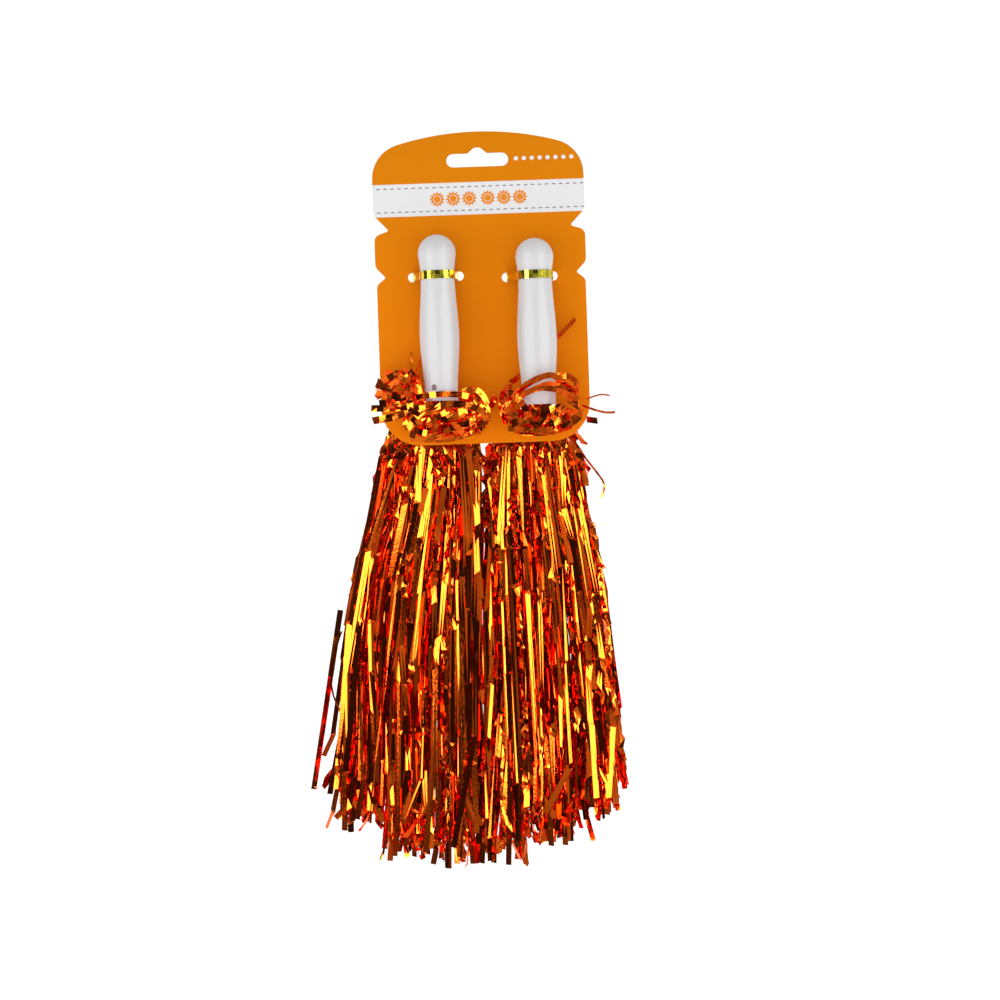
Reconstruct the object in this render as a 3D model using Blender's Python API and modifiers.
"""A pair of foil pom poms tied to a printed hanging card.

Frame: metres, +Z up, the card faces -Y, and the origin is the middle of the card's hanging slot.
Each pom pom is a hollow handle on the card's front, whose foil goes back through a round hole in
the card and hangs behind and below it. A twist tie round each handle's neck holds it to the card.
"""

import math

import bmesh
import bpy
from mathutils import Vector

# Card
CARD_THICKNESS = 0.0005
CARD_TOP = 0.0148  # above the slot's centre
CARD_TOP_RADIUS = 0.153
CARD_SHOULDER_RADIUS = 0.018
CARD_MARGIN = 0.0177  # from the outermost tie hole to the card's side
CARD_WAIST_STEP = 0.0002  # how much narrower the card is between its two notches
CARD_FOOT_STEP = 0.0007  # and how much narrower it is below them
CARD_BELOW_MOUTH = 0.0188
CARD_CORNER_RADIUS = 0.020

# The two notches in each side: depth of the tip, and heights below the slot
NOTCH_TIP_RADIUS = 0.0008
UPPER_NOTCH_DEPTH = 0.0079
UPPER_NOTCH_HEIGHTS = (0.0270, 0.0353, 0.0377)
UPPER_NOTCH_RADII = (0.006, 0.004)
LOWER_NOTCH_DEPTH = 0.0055
LOWER_NOTCH_HEIGHTS = (0.0540, 0.0595, 0.0632)
LOWER_NOTCH_RADII = (0.005, 0.004)

# Hanging slot
SLOT_LENGTH = 0.032
SLOT_HEIGHT = 0.0069
SLOT_BUMP_RISE = 0.0030
SLOT_BUMP_TOP = 0.0015
SLOT_BUMP_FOOT = 0.0050
SLOT_BUMP_RADII = (0.0012, 0.0020)

# Handles
POM_SPACING = 0.0501
POM_OFFSET = 0.00265  # the pair's middle is this far right of the slot
HANDLE_LENGTH = 0.0858
HANDLE_WALL = 0.0015
BALL_RADIUS = 0.0098
NECK_RADIUS = 0.0087
BELLY_RADIUS = 0.0102
BASE_RADIUS = 0.0087
NECK_FROM_TOP = 0.0215
BELLY_FROM_TOP = 0.052
BASE_STRAIGHT = 0.006
HANDLE_SIDES = 28
PIN_FROM_MOUTH = 0.0070
PIN_HOLE_RADIUS = 0.0015
PIN_CLEARANCE = 0.0003
PIN_RECESS = 0.0006
PIN_TURN = math.radians(24)  # the pin's hole, to the left of straight ahead
HEADER_LENGTH = 0.016

# Twist ties
TIE_WIDTH = 0.0042
TIE_THICKNESS = 0.0005
TIE_HOLE_RADIUS = 0.00245
TIE_HOLE_REACH = 0.0033  # from the handle's neck to a tie hole's centre
TIE_STANDOFF = 0.0010  # of the tie behind the card
TIE_CORNER_RADIUS = 0.0008
TAIL_LENGTH = 0.019
TAIL_TURNS = 3.0

# Foil
NECK_BEND_RADIUS = 0.0072
NECK_BEHIND_CARD = 0.0026
NECK_SIDES = 20
HOLE_BELOW_MOUTH = 0.0055
FRINGE_DEPTH = 0.0230  # front to back, at the hinge
FRINGE_FRONT = 0.0010  # behind the card's middle plane
FRINGE_FLARE = 0.0030  # how much further it stands out to front and back at the ends
FRINGE_LEAN = math.tan(math.radians(1.93))  # the fringe hangs this much to the left
FRINGE_BORDER = -0.0025  # where the two fringes meet, from the slot's middle
TOP_ABOVE_MOUTH = 0.006
HINGE_BELOW_CARD = 0.0062
TOP_ABOVE_HINGE = 0.0035
TOP_SECTIONS = (  # share of the way down, then shares of the full width and depth there
    (0.0, 0.35, 0.45),
    (0.12, 0.55, 0.8),
    (0.4, 0.8, 1.0),
    (0.8, 0.97, 1.0),
    (1.0, 1.0, 0.9),
)
RIDGE_HALF_DEPTH = 0.0012
FULL_DEPTH_AT = 0.025  # below the hinge, where a lock reaches its full thickness
LOCK_SPLITS = {"outer": (0, 1), "middle": (1, 2), "inner": (2, 3)}
LOCKS = len(LOCK_SPLITS)
LOCK_GAP = 0.0012
LOCK_SIDES = 20
STRAY_WIDTH = 0.0030
STRAY_THICKNESS = 0.0005
STRAY_STANDOFF = 0.0015
STRAY_DEPTHS = (0.078, 0.171)  # below the hinge, where the strip starts and ends
STRAY_SPREAD = 0.0105

GAP = 0.0003  # between pieces that rest on or sit in each other
SQUARENESS = 4.0  # of the foil's rounded sections
NO_CORNER = math.radians(88)  # half the angle at a point of an outline, taken as straight there

# What differs between the two pom poms. Heights are below the slot; reaches are outwards from
# the handle's axis, at the hinge, 75 mm below it and 175 mm below it. A tie's two holes are not
# quite level with the handle's axis: tie_shift is how far right of it their middle is.
POMS = {
    "left": {
        "side": -1,
        "top": 0.0388,
        "tie_from_top": 0.0210,
        "tie_shift": -0.0010,
        "fringe_reach": (0.0351, 0.0541, 0.0557),
        "fringe_length": {"outer": 0.194, "middle": 0.209, "inner": 0.214},
        "tuft_outer": 0.0360,
        "tuft_inner_gap": 0.0020,
        "tuft_heights": (0.0220, 0.0200),
        "tuft_front": 0.0160,
    },
    "right": {
        "side": 1,
        "top": 0.0422,
        "tie_from_top": 0.0191,
        "tie_shift": -0.0026,
        "fringe_reach": (0.0218, 0.0343, 0.0442),
        "fringe_length": {"outer": 0.192, "middle": 0.205, "inner": 0.214},
        "tuft_outer": 0.0222,
        "tuft_inner_gap": 0.0036,
        "tuft_heights": (0.0140, 0.0148),
        "tuft_front": 0.0145,
    },
}
FRINGE_STATIONS = (0.0, 0.075, 0.175)

# Worked out from the above
BORE_RADIUS = BASE_RADIUS - HANDLE_WALL
HEADER_RADIUS = BORE_RADIUS - GAP
FOIL_NECK_RADIUS = HEADER_RADIUS - 2 * GAP
POM_HOLE_RADIUS = BELLY_RADIUS + GAP
TIE_REACH = NECK_RADIUS + TIE_HOLE_REACH
OUTERMOST_TIE = POM_SPACING / 2 + POM_OFFSET + TIE_REACH + POMS["right"]["tie_shift"]
CARD_HALF_WIDTH = OUTERMOST_TIE + CARD_MARGIN
AXIS_Y = -(CARD_THICKNESS / 2 + GAP + max(BELLY_RADIUS, BALL_RADIUS))
MOUTH_Z = {name: -(pom["top"] + HANDLE_LENGTH) for name, pom in POMS.items()}
AXIS_X = {name: POM_OFFSET + pom["side"] * POM_SPACING / 2 for name, pom in POMS.items()}
CARD_BOTTOM = min(MOUTH_Z.values()) - CARD_BELOW_MOUTH
HINGE_Z = CARD_BOTTOM - HINGE_BELOW_CARD
HINGE_Y = FRINGE_FRONT + FRINGE_DEPTH / 2

PLASTIC = ("white_plastic", (0.82, 0.81, 0.82), 0.32, 0.0)
CARD = ("printed_card", (0.70, 0.20, 0.006), 0.45, 0.0)
GOLD = ("gold_tie_film", (0.86, 0.66, 0.09), 0.22, 1.0)
STEEL = ("pin_steel", (0.42, 0.36, 0.30), 0.45, 1.0)
FOIL = ("orange_foil", (0.90, 0.30, 0.03), 0.15, 1.0)


# ---------------------------------------------------------------- helpers


def clear_scene():
    for obj in list(bpy.data.objects):
        bpy.data.objects.remove(obj, do_unlink=True)


def new_collection(name):
    collection = bpy.data.collections.new(name)
    bpy.context.scene.collection.children.link(collection)
    return collection


def make_material(name, finish):
    """A Principled material for one piece; finish is one of the named finishes above."""
    _, colour, roughness, metallic = finish
    material = bpy.data.materials.new(name)
    material.use_nodes = True
    shader = material.node_tree.nodes["Principled BSDF"]
    shader.inputs["Base Color"].default_value = (*colour, 1.0)
    shader.inputs["Roughness"].default_value = roughness
    shader.inputs["Metallic"].default_value = metallic
    return material


def add_object(name, data, collection, finish=None, location=(0, 0, 0), parent=None):
    obj = bpy.data.objects.new(name, data)
    collection.objects.link(obj)
    obj.location = location
    if parent is not None:
        obj.parent = parent
    if finish is not None:
        obj.data.materials.append(make_material(name, finish))
    return obj


def make_cutter(obj):
    obj.hide_render = True
    obj.display_type = "WIRE"
    return obj


def add_pivot(name, collection, location, parent=None):
    """An empty on a joint's axis, which the pieces that move with it hang on."""
    empty = add_object(name, None, collection, location=location, parent=parent)
    empty.empty_display_size = 0.01
    return empty


def add_boolean(obj, cutter, operation):
    modifier = obj.modifiers.new(cutter.name, "BOOLEAN")
    modifier.operation = operation
    modifier.solver = "EXACT"
    modifier.object = cutter


def smooth(obj, angle=40):
    obj.data.shade_smooth()
    obj.data.set_sharp_from_angle(angle=math.radians(angle))


def arc(centre, radius, start, end, steps):
    """Points on a circle, between two angles in radians."""
    return [
        (
            centre[0] + radius * math.cos(start + (end - start) * i / steps),
            centre[1] + radius * math.sin(start + (end - start) * i / steps),
        )
        for i in range(steps + 1)
    ]


def fillet(before, corner, after, radius, steps=6):
    """The points that round one corner of an outline."""
    here = Vector(corner)
    to_before = (Vector(before) - here).normalized()
    to_after = (Vector(after) - here).normalized()
    half = to_before.angle(to_after) / 2
    if half > NO_CORNER:
        return [(here.x, here.y)]
    reach = radius / math.tan(half)
    room = 0.49 * min((Vector(before) - here).length, (Vector(after) - here).length)
    reach = min(reach, room)
    radius = reach * math.tan(half)
    centre = here + (to_before + to_after).normalized() * (radius / math.sin(half))
    first = here + to_before * reach - centre
    last = here + to_after * reach - centre
    turn = first.angle_signed(last)
    points = []
    for i in range(steps + 1):
        angle = -turn * i / steps
        cosine, sine = math.cos(angle), math.sin(angle)
        points.append(
            (
                centre.x + first.x * cosine - first.y * sine,
                centre.y + first.x * sine + first.y * cosine,
            )
        )
    return points


def rounded_outline(corners):
    """A closed outline from (x, z, radius) corners, each rounded by its radius."""
    count = len(corners)
    points = []
    for i, (x, z, radius) in enumerate(corners):
        before, after = corners[i - 1][:2], corners[(i + 1) % count][:2]
        if radius:
            points += fillet(before, (x, z), after, radius)
        else:
            points.append((x, z))
    return points


def circle_outline(x, z, radius, sides=28):
    return arc((x, z), radius, 0, 2 * math.pi, sides)[:-1]


def offset_loop(points, distance):
    """The closed outline moved sideways by a distance, to the left of its direction."""
    moved = []
    count = len(points)
    for i, point in enumerate(points):
        here = Vector(point)
        ahead = (Vector(points[(i + 1) % count]) - here).normalized()
        behind = (here - Vector(points[i - 1])).normalized()
        normal = Vector((-(ahead + behind).y, (ahead + behind).x)).normalized()
        stretch = max(0.5, normal.dot(Vector((-ahead.y, ahead.x))))
        moved.append(tuple(here + normal * distance / stretch))
    return moved


def flat_curve(name, outlines, thickness):
    """A 2D curve in its own XY plane, filled between its outlines and extruded both ways."""
    data = bpy.data.curves.new(name, "CURVE")
    data.dimensions = "2D"
    data.fill_mode = "BOTH"
    data.extrude = thickness / 2
    for outline in outlines:
        spline = data.splines.new("POLY")
        spline.points.add(len(outline) - 1)
        for point, (x, y) in zip(spline.points, outline):
            point.co = (x, y, 0, 1)
        spline.use_cyclic_u = True
    return data


def turned(name, profile, sides, collection, finish=None, wall=0.0, **placed):
    """A Screw of a profile of (radius, height) points, with an inner wall if one is given."""
    mesh = bpy.data.meshes.new(name)
    vertices = [(radius, 0, height) for radius, height in profile]
    edges = [(i, i + 1) for i in range(len(vertices) - 1)]
    mesh.from_pydata(vertices, edges, [])
    obj = add_object(name, mesh, collection, finish, **placed)
    screw = obj.modifiers.new("turn", "SCREW")
    screw.axis = "Z"
    screw.steps = sides
    screw.render_steps = sides
    screw.use_merge_vertices = True
    screw.merge_threshold = 0.00005
    screw.use_smooth_shade = True
    if wall:
        shell = obj.modifiers.new("wall", "SOLIDIFY")
        shell.thickness = wall
        shell.offset = -1
        shell.use_even_offset = True
    return obj


def rounded_ring(low, high, z, sides):
    """A rounded rectangle between two (x, y) corners, at a height."""
    centre = ((low[0] + high[0]) / 2, (low[1] + high[1]) / 2)
    half = ((high[0] - low[0]) / 2, (high[1] - low[1]) / 2)
    ring = []
    for i in range(sides):
        angle = 2 * math.pi * (i + 0.5) / sides
        cosine, sine = math.cos(angle), math.sin(angle)
        ring.append(
            (
                centre[0] + half[0] * math.copysign(abs(cosine) ** (2 / SQUARENESS), cosine),
                centre[1] + half[1] * math.copysign(abs(sine) ** (2 / SQUARENESS), sine),
                z,
            )
        )
    return ring


def loft(name, rings):
    """A closed solid through rings of points, listed from the top down, seen anticlockwise."""
    mesh = bpy.data.meshes.new(name)
    build = bmesh.new()
    rows = [[build.verts.new(point) for point in ring] for ring in rings]
    for upper, lower in zip(rows, rows[1:]):
        count = len(upper)
        for i in range(count):
            j = (i + 1) % count
            build.faces.new((upper[i], lower[i], lower[j], upper[j]))
    build.faces.new(rows[0])
    build.faces.new(list(reversed(rows[-1])))
    bmesh.ops.recalc_face_normals(build, faces=build.faces)
    build.to_mesh(mesh)
    build.free()
    return mesh


def mesh_from_curve(obj):
    """The curve's solid as a mesh object of the same name, place and material."""
    name, collection, parent = obj.name, obj.users_collection[0], obj.parent
    bpy.context.view_layer.update()
    graph = bpy.context.evaluated_depsgraph_get()
    mesh = bpy.data.meshes.new_from_object(obj.evaluated_get(graph))
    build = bmesh.new()
    build.from_mesh(mesh)
    bmesh.ops.remove_doubles(build, verts=build.verts, dist=0.000005)
    bmesh.ops.recalc_face_normals(build, faces=build.faces)
    build.to_mesh(mesh)
    build.free()
    placed = obj.matrix_basis.copy()
    bpy.data.objects.remove(obj, do_unlink=True)
    made = bpy.data.objects.new(name, mesh)
    collection.objects.link(made)
    made.parent = parent
    made.matrix_basis = placed
    return made


def ease(share):
    """0 to 1 with no slope at either end."""
    return (1 - math.cos(math.pi * min(max(share, 0.0), 1.0))) / 2


def interpolate(stations, values, at):
    """A smooth value between stations, level beyond the last one."""
    for (low, high), (start, end) in zip(zip(stations, stations[1:]), zip(values, values[1:])):
        if at <= high:
            return start + (end - start) * math.sin(math.pi / 2 * (at - low) / (high - low))
    return values[-1]


# ---------------------------------------------------------------- card


def card_side(half_width):
    """The card's right side below its shoulder, top to bottom, as rounded corners."""
    waist = half_width - CARD_WAIST_STEP
    foot = half_width - CARD_FOOT_STEP
    upper_in, upper_tip, upper_out = UPPER_NOTCH_HEIGHTS
    lower_in, lower_tip, lower_out = LOWER_NOTCH_HEIGHTS
    return [
        (half_width, -upper_in, UPPER_NOTCH_RADII[0]),
        (half_width - UPPER_NOTCH_DEPTH, -upper_tip, NOTCH_TIP_RADIUS),
        (waist, -upper_out, UPPER_NOTCH_RADII[1]),
        (waist, -lower_in, LOWER_NOTCH_RADII[0]),
        (half_width - LOWER_NOTCH_DEPTH, -lower_tip, NOTCH_TIP_RADIUS),
        (foot, -lower_out, LOWER_NOTCH_RADII[1]),
        (foot, CARD_BOTTOM, CARD_CORNER_RADIUS),
    ]


def card_outline():
    """Clockwise from the top's middle: the arched top, a shoulder, the notched side, the foot."""
    inner = CARD_HALF_WIDTH - CARD_SHOULDER_RADIUS
    arch_z = CARD_TOP - CARD_TOP_RADIUS
    reach = CARD_TOP_RADIUS - CARD_SHOULDER_RADIUS
    shoulder_z = math.sqrt(reach**2 - inner**2) + arch_z
    meet = math.atan2(shoulder_z - arch_z, inner)
    arch = arc((0, arch_z), CARD_TOP_RADIUS, math.pi / 2, meet, 12)
    shoulder = arc((inner, shoulder_z), CARD_SHOULDER_RADIUS, meet, 0, 8)[1:]
    corners = card_side(CARD_HALF_WIDTH)
    left = [(-x, z, radius) for x, z, radius in reversed(corners)]
    ends = [(*shoulder[-1], 0), (-shoulder[-1][0], shoulder[-1][1], 0)]
    side = rounded_outline([ends[0], *corners, *left, ends[1]])[1:-1]
    right = arch + shoulder
    return right + side + [(-x, z) for x, z in reversed(right)][:-1]


def slot_outline():
    """The hanging slot: a long round-ended slot with a bump in its upper edge."""
    end = SLOT_LENGTH / 2
    half = SLOT_HEIGHT / 2
    round_end = half * 0.999
    foot_radius, top_radius = SLOT_BUMP_RADII
    return rounded_outline(
        [
            (-end, -half, round_end),
            (end, -half, round_end),
            (end, half, round_end),
            (SLOT_BUMP_FOOT, half, foot_radius),
            (SLOT_BUMP_TOP, half + SLOT_BUMP_RISE, top_radius),
            (-SLOT_BUMP_TOP, half + SLOT_BUMP_RISE, top_radius),
            (-SLOT_BUMP_FOOT, half, foot_radius),
            (-end, half, round_end),
        ]
    )


def tie_z(name):
    return -(POMS[name]["top"] + POMS[name]["tie_from_top"])


def tie_loop_radius(name):
    """The radius of the tie's middle line where it goes round the handle."""
    middle = POMS[name]["tie_from_top"]
    widest = max(handle_radius(middle + share * TIE_WIDTH / 2) for share in (-1, -0.5, 0, 0.5, 1))
    return widest + GAP + TIE_THICKNESS / 2


def tie_reach(name, side):
    """How far from the handle's axis, on one side, the tie goes through the card."""
    return max(tie_loop_radius(name), TIE_REACH + side * POMS[name]["tie_shift"])


def build_card(parts):
    outlines = [card_outline(), slot_outline()]
    for name in POMS:
        x = AXIS_X[name]
        outlines.append(circle_outline(x, MOUTH_Z[name] - HOLE_BELOW_MOUTH, POM_HOLE_RADIUS))
        for side in (-1, 1):
            outlines.append(
                circle_outline(x + side * tie_reach(name, side), tie_z(name), TIE_HOLE_RADIUS, 16)
            )
    data = flat_curve("backing_card", outlines, CARD_THICKNESS)
    card = add_object("backing_card", data, parts, CARD)
    card.rotation_euler = (math.pi / 2, 0, 0)


# ---------------------------------------------------------------- handle


def handle_radius(below_top):
    """The handle's outer radius at a distance below its top."""
    join = BALL_RADIUS * 1.25
    at_join = math.sqrt(BALL_RADIUS**2 - (join - BALL_RADIUS) ** 2)
    base = HANDLE_LENGTH - BASE_STRAIGHT
    if below_top < join:
        return math.sqrt(max(0.0, BALL_RADIUS**2 - (BALL_RADIUS - below_top) ** 2))
    if below_top < NECK_FROM_TOP:
        share = (below_top - join) / (NECK_FROM_TOP - join)
        return at_join + (NECK_RADIUS - at_join) * math.sin(math.pi / 2 * share)
    if below_top < BELLY_FROM_TOP:
        share = (below_top - NECK_FROM_TOP) / (BELLY_FROM_TOP - NECK_FROM_TOP)
        return NECK_RADIUS + (BELLY_RADIUS - NECK_RADIUS) * ease(share)
    share = (below_top - BELLY_FROM_TOP) / (base - BELLY_FROM_TOP)
    return BELLY_RADIUS + (BASE_RADIUS - BELLY_RADIUS) * ease(share)


def handle_profile(margin=0.0):
    """(radius, height above the mouth) points, from the top of the ball down to the mouth."""
    ball = [BALL_RADIUS * (1 - math.cos(math.radians(a))) for a in (0, 15, 30, 45, 60, 75, 90)]
    rest = [ball[-1] + (HANDLE_LENGTH - ball[-1]) * i / 14 for i in range(1, 15)]
    points = [(handle_radius(at), HANDLE_LENGTH - at) for at in ball + rest]
    points[0] = (0.0, HANDLE_LENGTH)
    return [(r + margin if r else r, z + (margin if z > 0 else 0)) for r, z in points]


def handle_room_profile():
    """The handle's outline with room round it, closed just below the mouth."""
    room = 2 * GAP
    around = handle_profile(room)[:-1]
    return [*around, (BASE_RADIUS + room, 0.0), (BASE_RADIUS + room, -GAP), (0.0, -GAP)]


def pin_cutter(name, pivot, cutters):
    """The cross hole through the handle and the rolled foil in its mouth."""
    bpy.ops.mesh.primitive_cylinder_add(
        vertices=16, radius=PIN_HOLE_RADIUS, depth=BASE_RADIUS * 3
    )
    cutter = bpy.context.object
    cutter.name = f"{name}_pin_hole"
    for holder in cutter.users_collection:
        holder.objects.unlink(cutter)
    cutters.objects.link(cutter)
    cutter.rotation_euler = (math.pi / 2, 0, -PIN_TURN)
    cutter.location = (0, 0, PIN_FROM_MOUTH)
    cutter.parent = pivot
    return make_cutter(cutter)


def rod(name, radius, length, sides, parts, finish, **placed):
    """A solid cylinder along its own Z, centred, made from a bmesh cone with both ends capped."""
    mesh = bpy.data.meshes.new(name)
    build = bmesh.new()
    bmesh.ops.create_cone(
        build, cap_ends=True, segments=sides, radius1=radius, radius2=radius, depth=length
    )
    build.to_mesh(mesh)
    build.free()
    obj = add_object(name, mesh, parts, finish, **placed)
    smooth(obj)
    return obj


def build_handle(name, parts, cutters):
    """The handle with its pin and rolled foil header, which turn together in the tie."""
    pivot = add_pivot(f"{name}_handle_axis", parts, (AXIS_X[name], AXIS_Y, MOUTH_Z[name]))
    handle = turned(
        f"{name}_handle", handle_profile(), HANDLE_SIDES, parts, PLASTIC,
        wall=HANDLE_WALL, parent=pivot,
    )
    hole = pin_cutter(name, pivot, cutters)
    add_boolean(handle, hole, "DIFFERENCE")
    header = rod(
        f"{name}_foil_header", HEADER_RADIUS, HEADER_LENGTH, HANDLE_SIDES, parts, FOIL,
        parent=pivot, location=(0, 0, HEADER_LENGTH / 2),
    )
    add_boolean(header, hole, "DIFFERENCE")
    pin = rod(
        f"{name}_retaining_pin", PIN_HOLE_RADIUS - PIN_CLEARANCE,
        2 * (BASE_RADIUS - PIN_RECESS), 12, parts, STEEL,
        parent=pivot, location=(0, 0, PIN_FROM_MOUTH),
    )
    pin.rotation_euler = (math.pi / 2, 0, -PIN_TURN)


# ---------------------------------------------------------------- twist tie


def tie_path(name):
    """The tie's middle line seen from above, round the handle's front and through the card."""
    around = tie_loop_radius(name)
    back = -AXIS_Y + CARD_THICKNESS / 2 + TIE_STANDOFF
    front = arc((0, 0), around, 0, -math.pi, 24)
    sides = []
    for side in (-1, 1):
        reach = tie_reach(name, side)
        corner = [(-reach, -AXIS_Y - TIE_STANDOFF), (-reach, back)]
        half = fillet((-around, 0), corner[0], corner[1], TIE_CORNER_RADIUS, 3)
        sides.append(half + fillet(corner[0], corner[1], (0, back), TIE_CORNER_RADIUS, 4))
    left, right = sides
    return front + left + [(-x, y) for x, y in reversed(right)]


def twisted_tail():
    """The two ends of the tie, twisted together and laid down the back of the card."""
    half_width = TIE_WIDTH / 2
    half_thickness = TIE_THICKNESS * 0.9
    corners = (
        (-half_width, -half_thickness), (half_width, -half_thickness),
        (half_width, half_thickness), (-half_width, half_thickness),
    )
    steps = int(8 * TAIL_TURNS)
    rings = []
    for i in range(steps + 1):
        angle = 2 * math.pi * TAIL_TURNS * i / steps
        cosine, sine = math.cos(angle), math.sin(angle)
        z = -TAIL_LENGTH * i / steps
        rings.append([(x * cosine - y * sine, x * sine + y * cosine, z) for x, y in corners])
    return loft("tail", rings)


def build_tie(name, parts, cutters):
    path = tie_path(name)
    half = TIE_THICKNESS / 2
    data = flat_curve(
        f"{name}_twist_tie", [offset_loop(path, half), offset_loop(path, -half)], TIE_WIDTH
    )
    band = add_object(
        f"{name}_twist_tie", data, parts, GOLD, location=(AXIS_X[name], AXIS_Y, tie_z(name))
    )
    band = mesh_from_curve(band)
    back = CARD_THICKNESS / 2 + TIE_STANDOFF + half + TIE_WIDTH / 2
    tail = add_object(f"{name}_tie_tail", twisted_tail(), cutters)
    tail.location = (AXIS_X[name], back - 1.6 * half, tie_z(name) + TIE_WIDTH * 0.3)
    make_cutter(tail)
    add_boolean(band, tail, "UNION")


# ---------------------------------------------------------------- foil at the front


def neck_points(lead):
    """The middle line of the foil from the handle's mouth, back through the card."""
    start = Vector((0, 0, lead - GAP))
    bend = [
        Vector((0, NECK_BEND_RADIUS * (1 - math.cos(a)), -GAP - NECK_BEND_RADIUS * math.sin(a)))
        for a in (math.pi / 2 * i / 6 for i in range(1, 7))
    ]
    end = Vector((0, -AXIS_Y + CARD_THICKNESS / 2 + NECK_BEHIND_CARD, bend[-1].z))
    return [start, *bend, end]


def neck_mesh(name, radius, lead=0.0):
    """A bent round bar along the neck's middle line, which may start above the mouth."""
    points = neck_points(lead)
    rings = []
    for i, point in enumerate(points):
        ahead = points[min(i + 1, len(points) - 1)] - points[max(i - 1, 0)]
        if i == 0:
            ahead = Vector((0, 0, -1))
        if i == len(points) - 1:
            ahead = Vector((0, 1, 0))
        across = Vector((1, 0, 0))
        up = across.cross(ahead.normalized())
        rings.append(
            [
                point + radius * (across * math.cos(a) + up * math.sin(a))
                for a in (2 * math.pi * k / NECK_SIDES for k in range(NECK_SIDES))
            ]
        )
    return loft(name, rings)


def build_neck(name, parts):
    place = (AXIS_X[name], AXIS_Y, MOUTH_Z[name])
    neck = add_object(
        f"{name}_foil_neck", neck_mesh(f"{name}_foil_neck", FOIL_NECK_RADIUS), parts, FOIL,
        location=place,
    )
    smooth(neck, 60)


def build_tuft(name, parts, cutters):
    """The clump of loose foil in front of the card, cut clear of the handle and the foil neck."""
    pom = POMS[name]
    side = pom["side"]
    mouth = Vector((AXIS_X[name], AXIS_Y, MOUTH_Z[name]))
    outer = mouth.x + side * pom["tuft_outer"]
    inner = mouth.x - side * (POM_SPACING / 2 - pom["tuft_inner_gap"])
    above, below = pom["tuft_heights"]
    front = AXIS_Y - pom["tuft_front"]
    rear = -CARD_THICKNESS / 2 - GAP
    mesh = bpy.data.meshes.new(f"{name}_front_tuft")
    build = bmesh.new()
    bmesh.ops.create_uvsphere(build, u_segments=24, v_segments=14, radius=1.0)
    for vert in build.verts:
        vert.co.x *= abs(outer - inner) / 2
        vert.co.y *= (rear - front) / 2
        vert.co.z *= (above + below) / 2
    build.to_mesh(mesh)
    build.free()
    tuft = add_object(
        f"{name}_front_tuft", mesh, parts, FOIL,
        location=((outer + inner) / 2, (rear + front) / 2, mouth.z + (above - below) / 2),
    )
    smooth(tuft, 60)
    around_handle = turned(
        f"{name}_handle_room", handle_room_profile(), HANDLE_SIDES, cutters, location=mouth,
    )
    around_neck = add_object(
        f"{name}_neck_room", neck_mesh(f"{name}_neck_room", FOIL_NECK_RADIUS + GAP, 2 * GAP),
        cutters, location=mouth,
    )
    for cutter in (around_handle, around_neck):
        add_boolean(tuft, make_cutter(cutter), "DIFFERENCE")


# ---------------------------------------------------------------- fringe behind and below


def fringe_edges(name, depth):
    """The fringe's (outer, inner) sides at a depth below the hinge, in the object's frame."""
    pom = POMS[name]
    lean = -FRINGE_LEAN * max(depth, 0.0)
    reach = interpolate(FRINGE_STATIONS, pom["fringe_reach"], max(depth, 0.0))
    outer = AXIS_X[name] + pom["side"] * reach
    inner = FRINGE_BORDER + pom["side"] * LOCK_GAP / 2
    return outer + lean, inner + lean


def lock_sides(name, lock, depth):
    """One lock's sides at a depth. They run straight down until the lock has its full depth."""
    start, end = LOCK_SPLITS[lock]
    outer, inner = fringe_edges(name, max(0.0, depth - FULL_DEPTH_AT))
    side = POMS[name]["side"]
    first = outer + (inner - outer) * start / LOCKS - side * (LOCK_GAP / 2 if start else 0.0)
    last = outer + (inner - outer) * end / LOCKS + side * (LOCK_GAP / 2 if end < LOCKS else 0.0)
    return min(first, last), max(first, last)


def build_fringe_top(name, parts):
    """The foil behind the card, which spreads from the hole to the card's lower edge."""
    hole_z = MOUTH_Z[name] - HOLE_BELOW_MOUTH
    pivot = add_pivot(f"{name}_sway_axis", parts, (AXIS_X[name], 0, hole_z))
    outer, inner = (x - AXIS_X[name] for x in fringe_edges(name, 0.0))
    left, right = min(outer, inner), max(outer, inner)
    front = CARD_THICKNESS / 2 + NECK_BEHIND_CARD + GAP
    rear = FRINGE_FRONT + FRINGE_DEPTH
    top = TOP_ABOVE_MOUTH + HOLE_BELOW_MOUTH
    bottom = HINGE_Z + TOP_ABOVE_HINGE - hole_z
    rings = []
    for share, spread, depth in TOP_SECTIONS:
        low = (left * spread, front)
        high = (right * spread, front + (rear - front) * depth)
        rings.append(rounded_ring(low, high, top + (bottom - top) * share, LOCK_SIDES))
    obj = add_object(
        f"{name}_fringe_top", loft(f"{name}_fringe_top", rings), parts, FOIL, parent=pivot
    )
    smooth(obj, 50)
    return pivot


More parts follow.
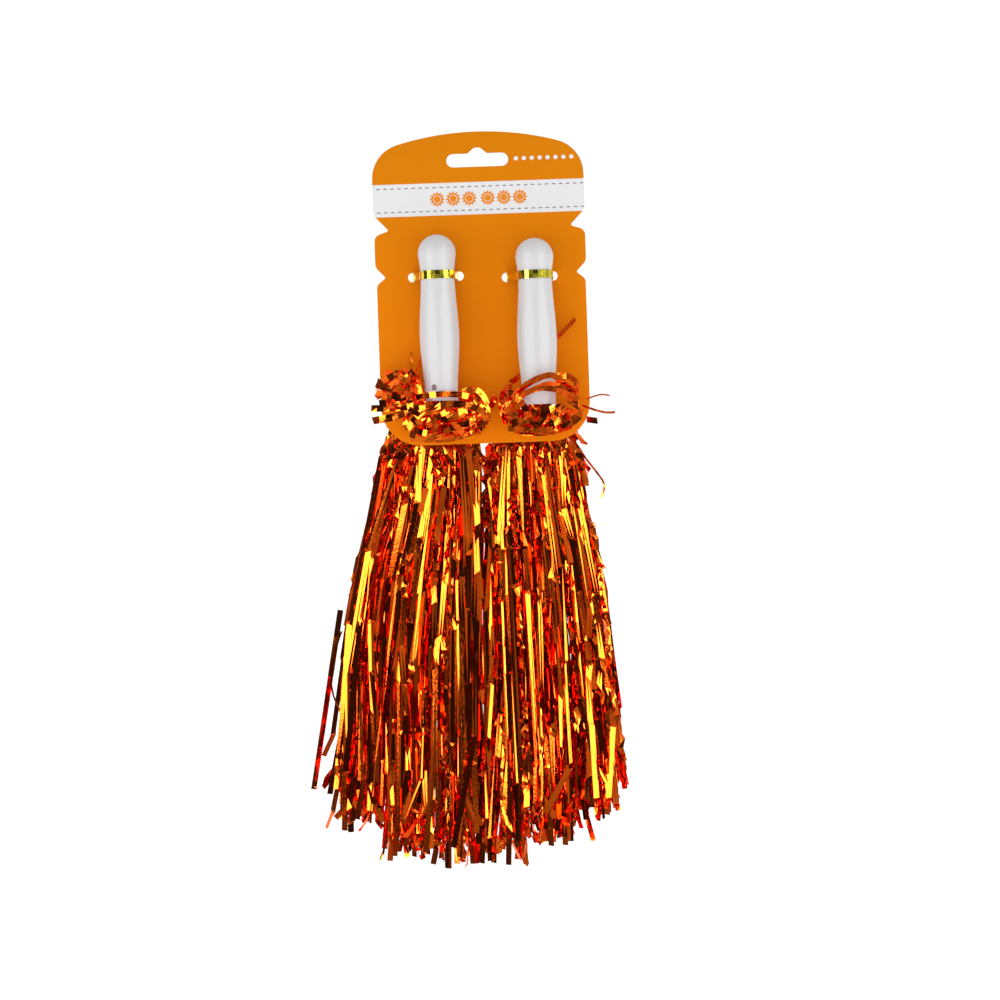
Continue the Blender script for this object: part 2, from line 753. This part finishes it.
def build_lock(name, lock, parts, sway):
    """One lock of the fringe below the card, with its origin on the line that it swings about."""
    length = POMS[name]["fringe_length"][lock]
    origin = Vector((AXIS_X[name], HINGE_Y, HINGE_Z))
    half = FRINGE_DEPTH / 2
    depths = [0.0, 0.008, 0.016, FULL_DEPTH_AT, 0.060, 0.100, 0.150, length - 0.012, length]
    rings = []
    for depth in depths:
        left, right = lock_sides(name, lock, depth)
        thickness = RIDGE_HALF_DEPTH + (half - RIDGE_HALF_DEPTH) * min(1.0, depth / FULL_DEPTH_AT)
        thickness += FRINGE_FLARE * max(0.0, (depth - FULL_DEPTH_AT) / (length - FULL_DEPTH_AT))
        if depth == length:
            thickness *= 0.7
        low = (left - origin.x, -thickness)
        high = (right - origin.x, thickness)
        rings.append(rounded_ring(low, high, -depth, LOCK_SIDES))
    obj = add_object(
        f"{name}_fringe_{lock}", loft(f"{name}_fringe_{lock}", rings), parts, FOIL, parent=sway
    )
    obj.location = origin - sway.location
    smooth(obj, 50)


def build_stray(name, parts, sway):
    """One strip of foil that stands away from the side of the outer lock."""
    origin = Vector((AXIS_X[name], HINGE_Y, HINGE_Z))
    side = POMS[name]["side"]
    rings = []
    start, end = STRAY_DEPTHS
    steps = 8
    for i in range(steps + 1):
        depth = start + (end - start) * i / steps
        left, right = lock_sides(name, "outer", depth)
        edge = left if side < 0 else right
        away = STRAY_STANDOFF + STRAY_SPREAD * (i / steps) ** 1.2
        low = (edge + side * away - origin.x, -STRAY_THICKNESS / 2)
        high = (low[0] + side * STRAY_WIDTH, STRAY_THICKNESS / 2)
        xs = sorted((low[0], high[0]))
        rings.append(
            [
                (xs[0], low[1], -depth), (xs[1], low[1], -depth),
                (xs[1], high[1], -depth), (xs[0], high[1], -depth),
            ]
        )
    obj = add_object(
        f"{name}_stray_strip", loft(f"{name}_stray_strip", rings), parts, FOIL, parent=sway
    )
    obj.location = origin - sway.location


def main():
    clear_scene()
    parts = new_collection("carded_pom_poms")
    cutters = new_collection("cutters")
    build_card(parts)
    for name in POMS:
        build_handle(name, parts, cutters)
        build_tie(name, parts, cutters)
        build_neck(name, parts)
        build_tuft(name, parts, cutters)
        sway = build_fringe_top(name, parts)
        for lock in LOCK_SPLITS:
            build_lock(name, lock, parts, sway)
        if name == "left":
            build_stray(name, parts, sway)


main()
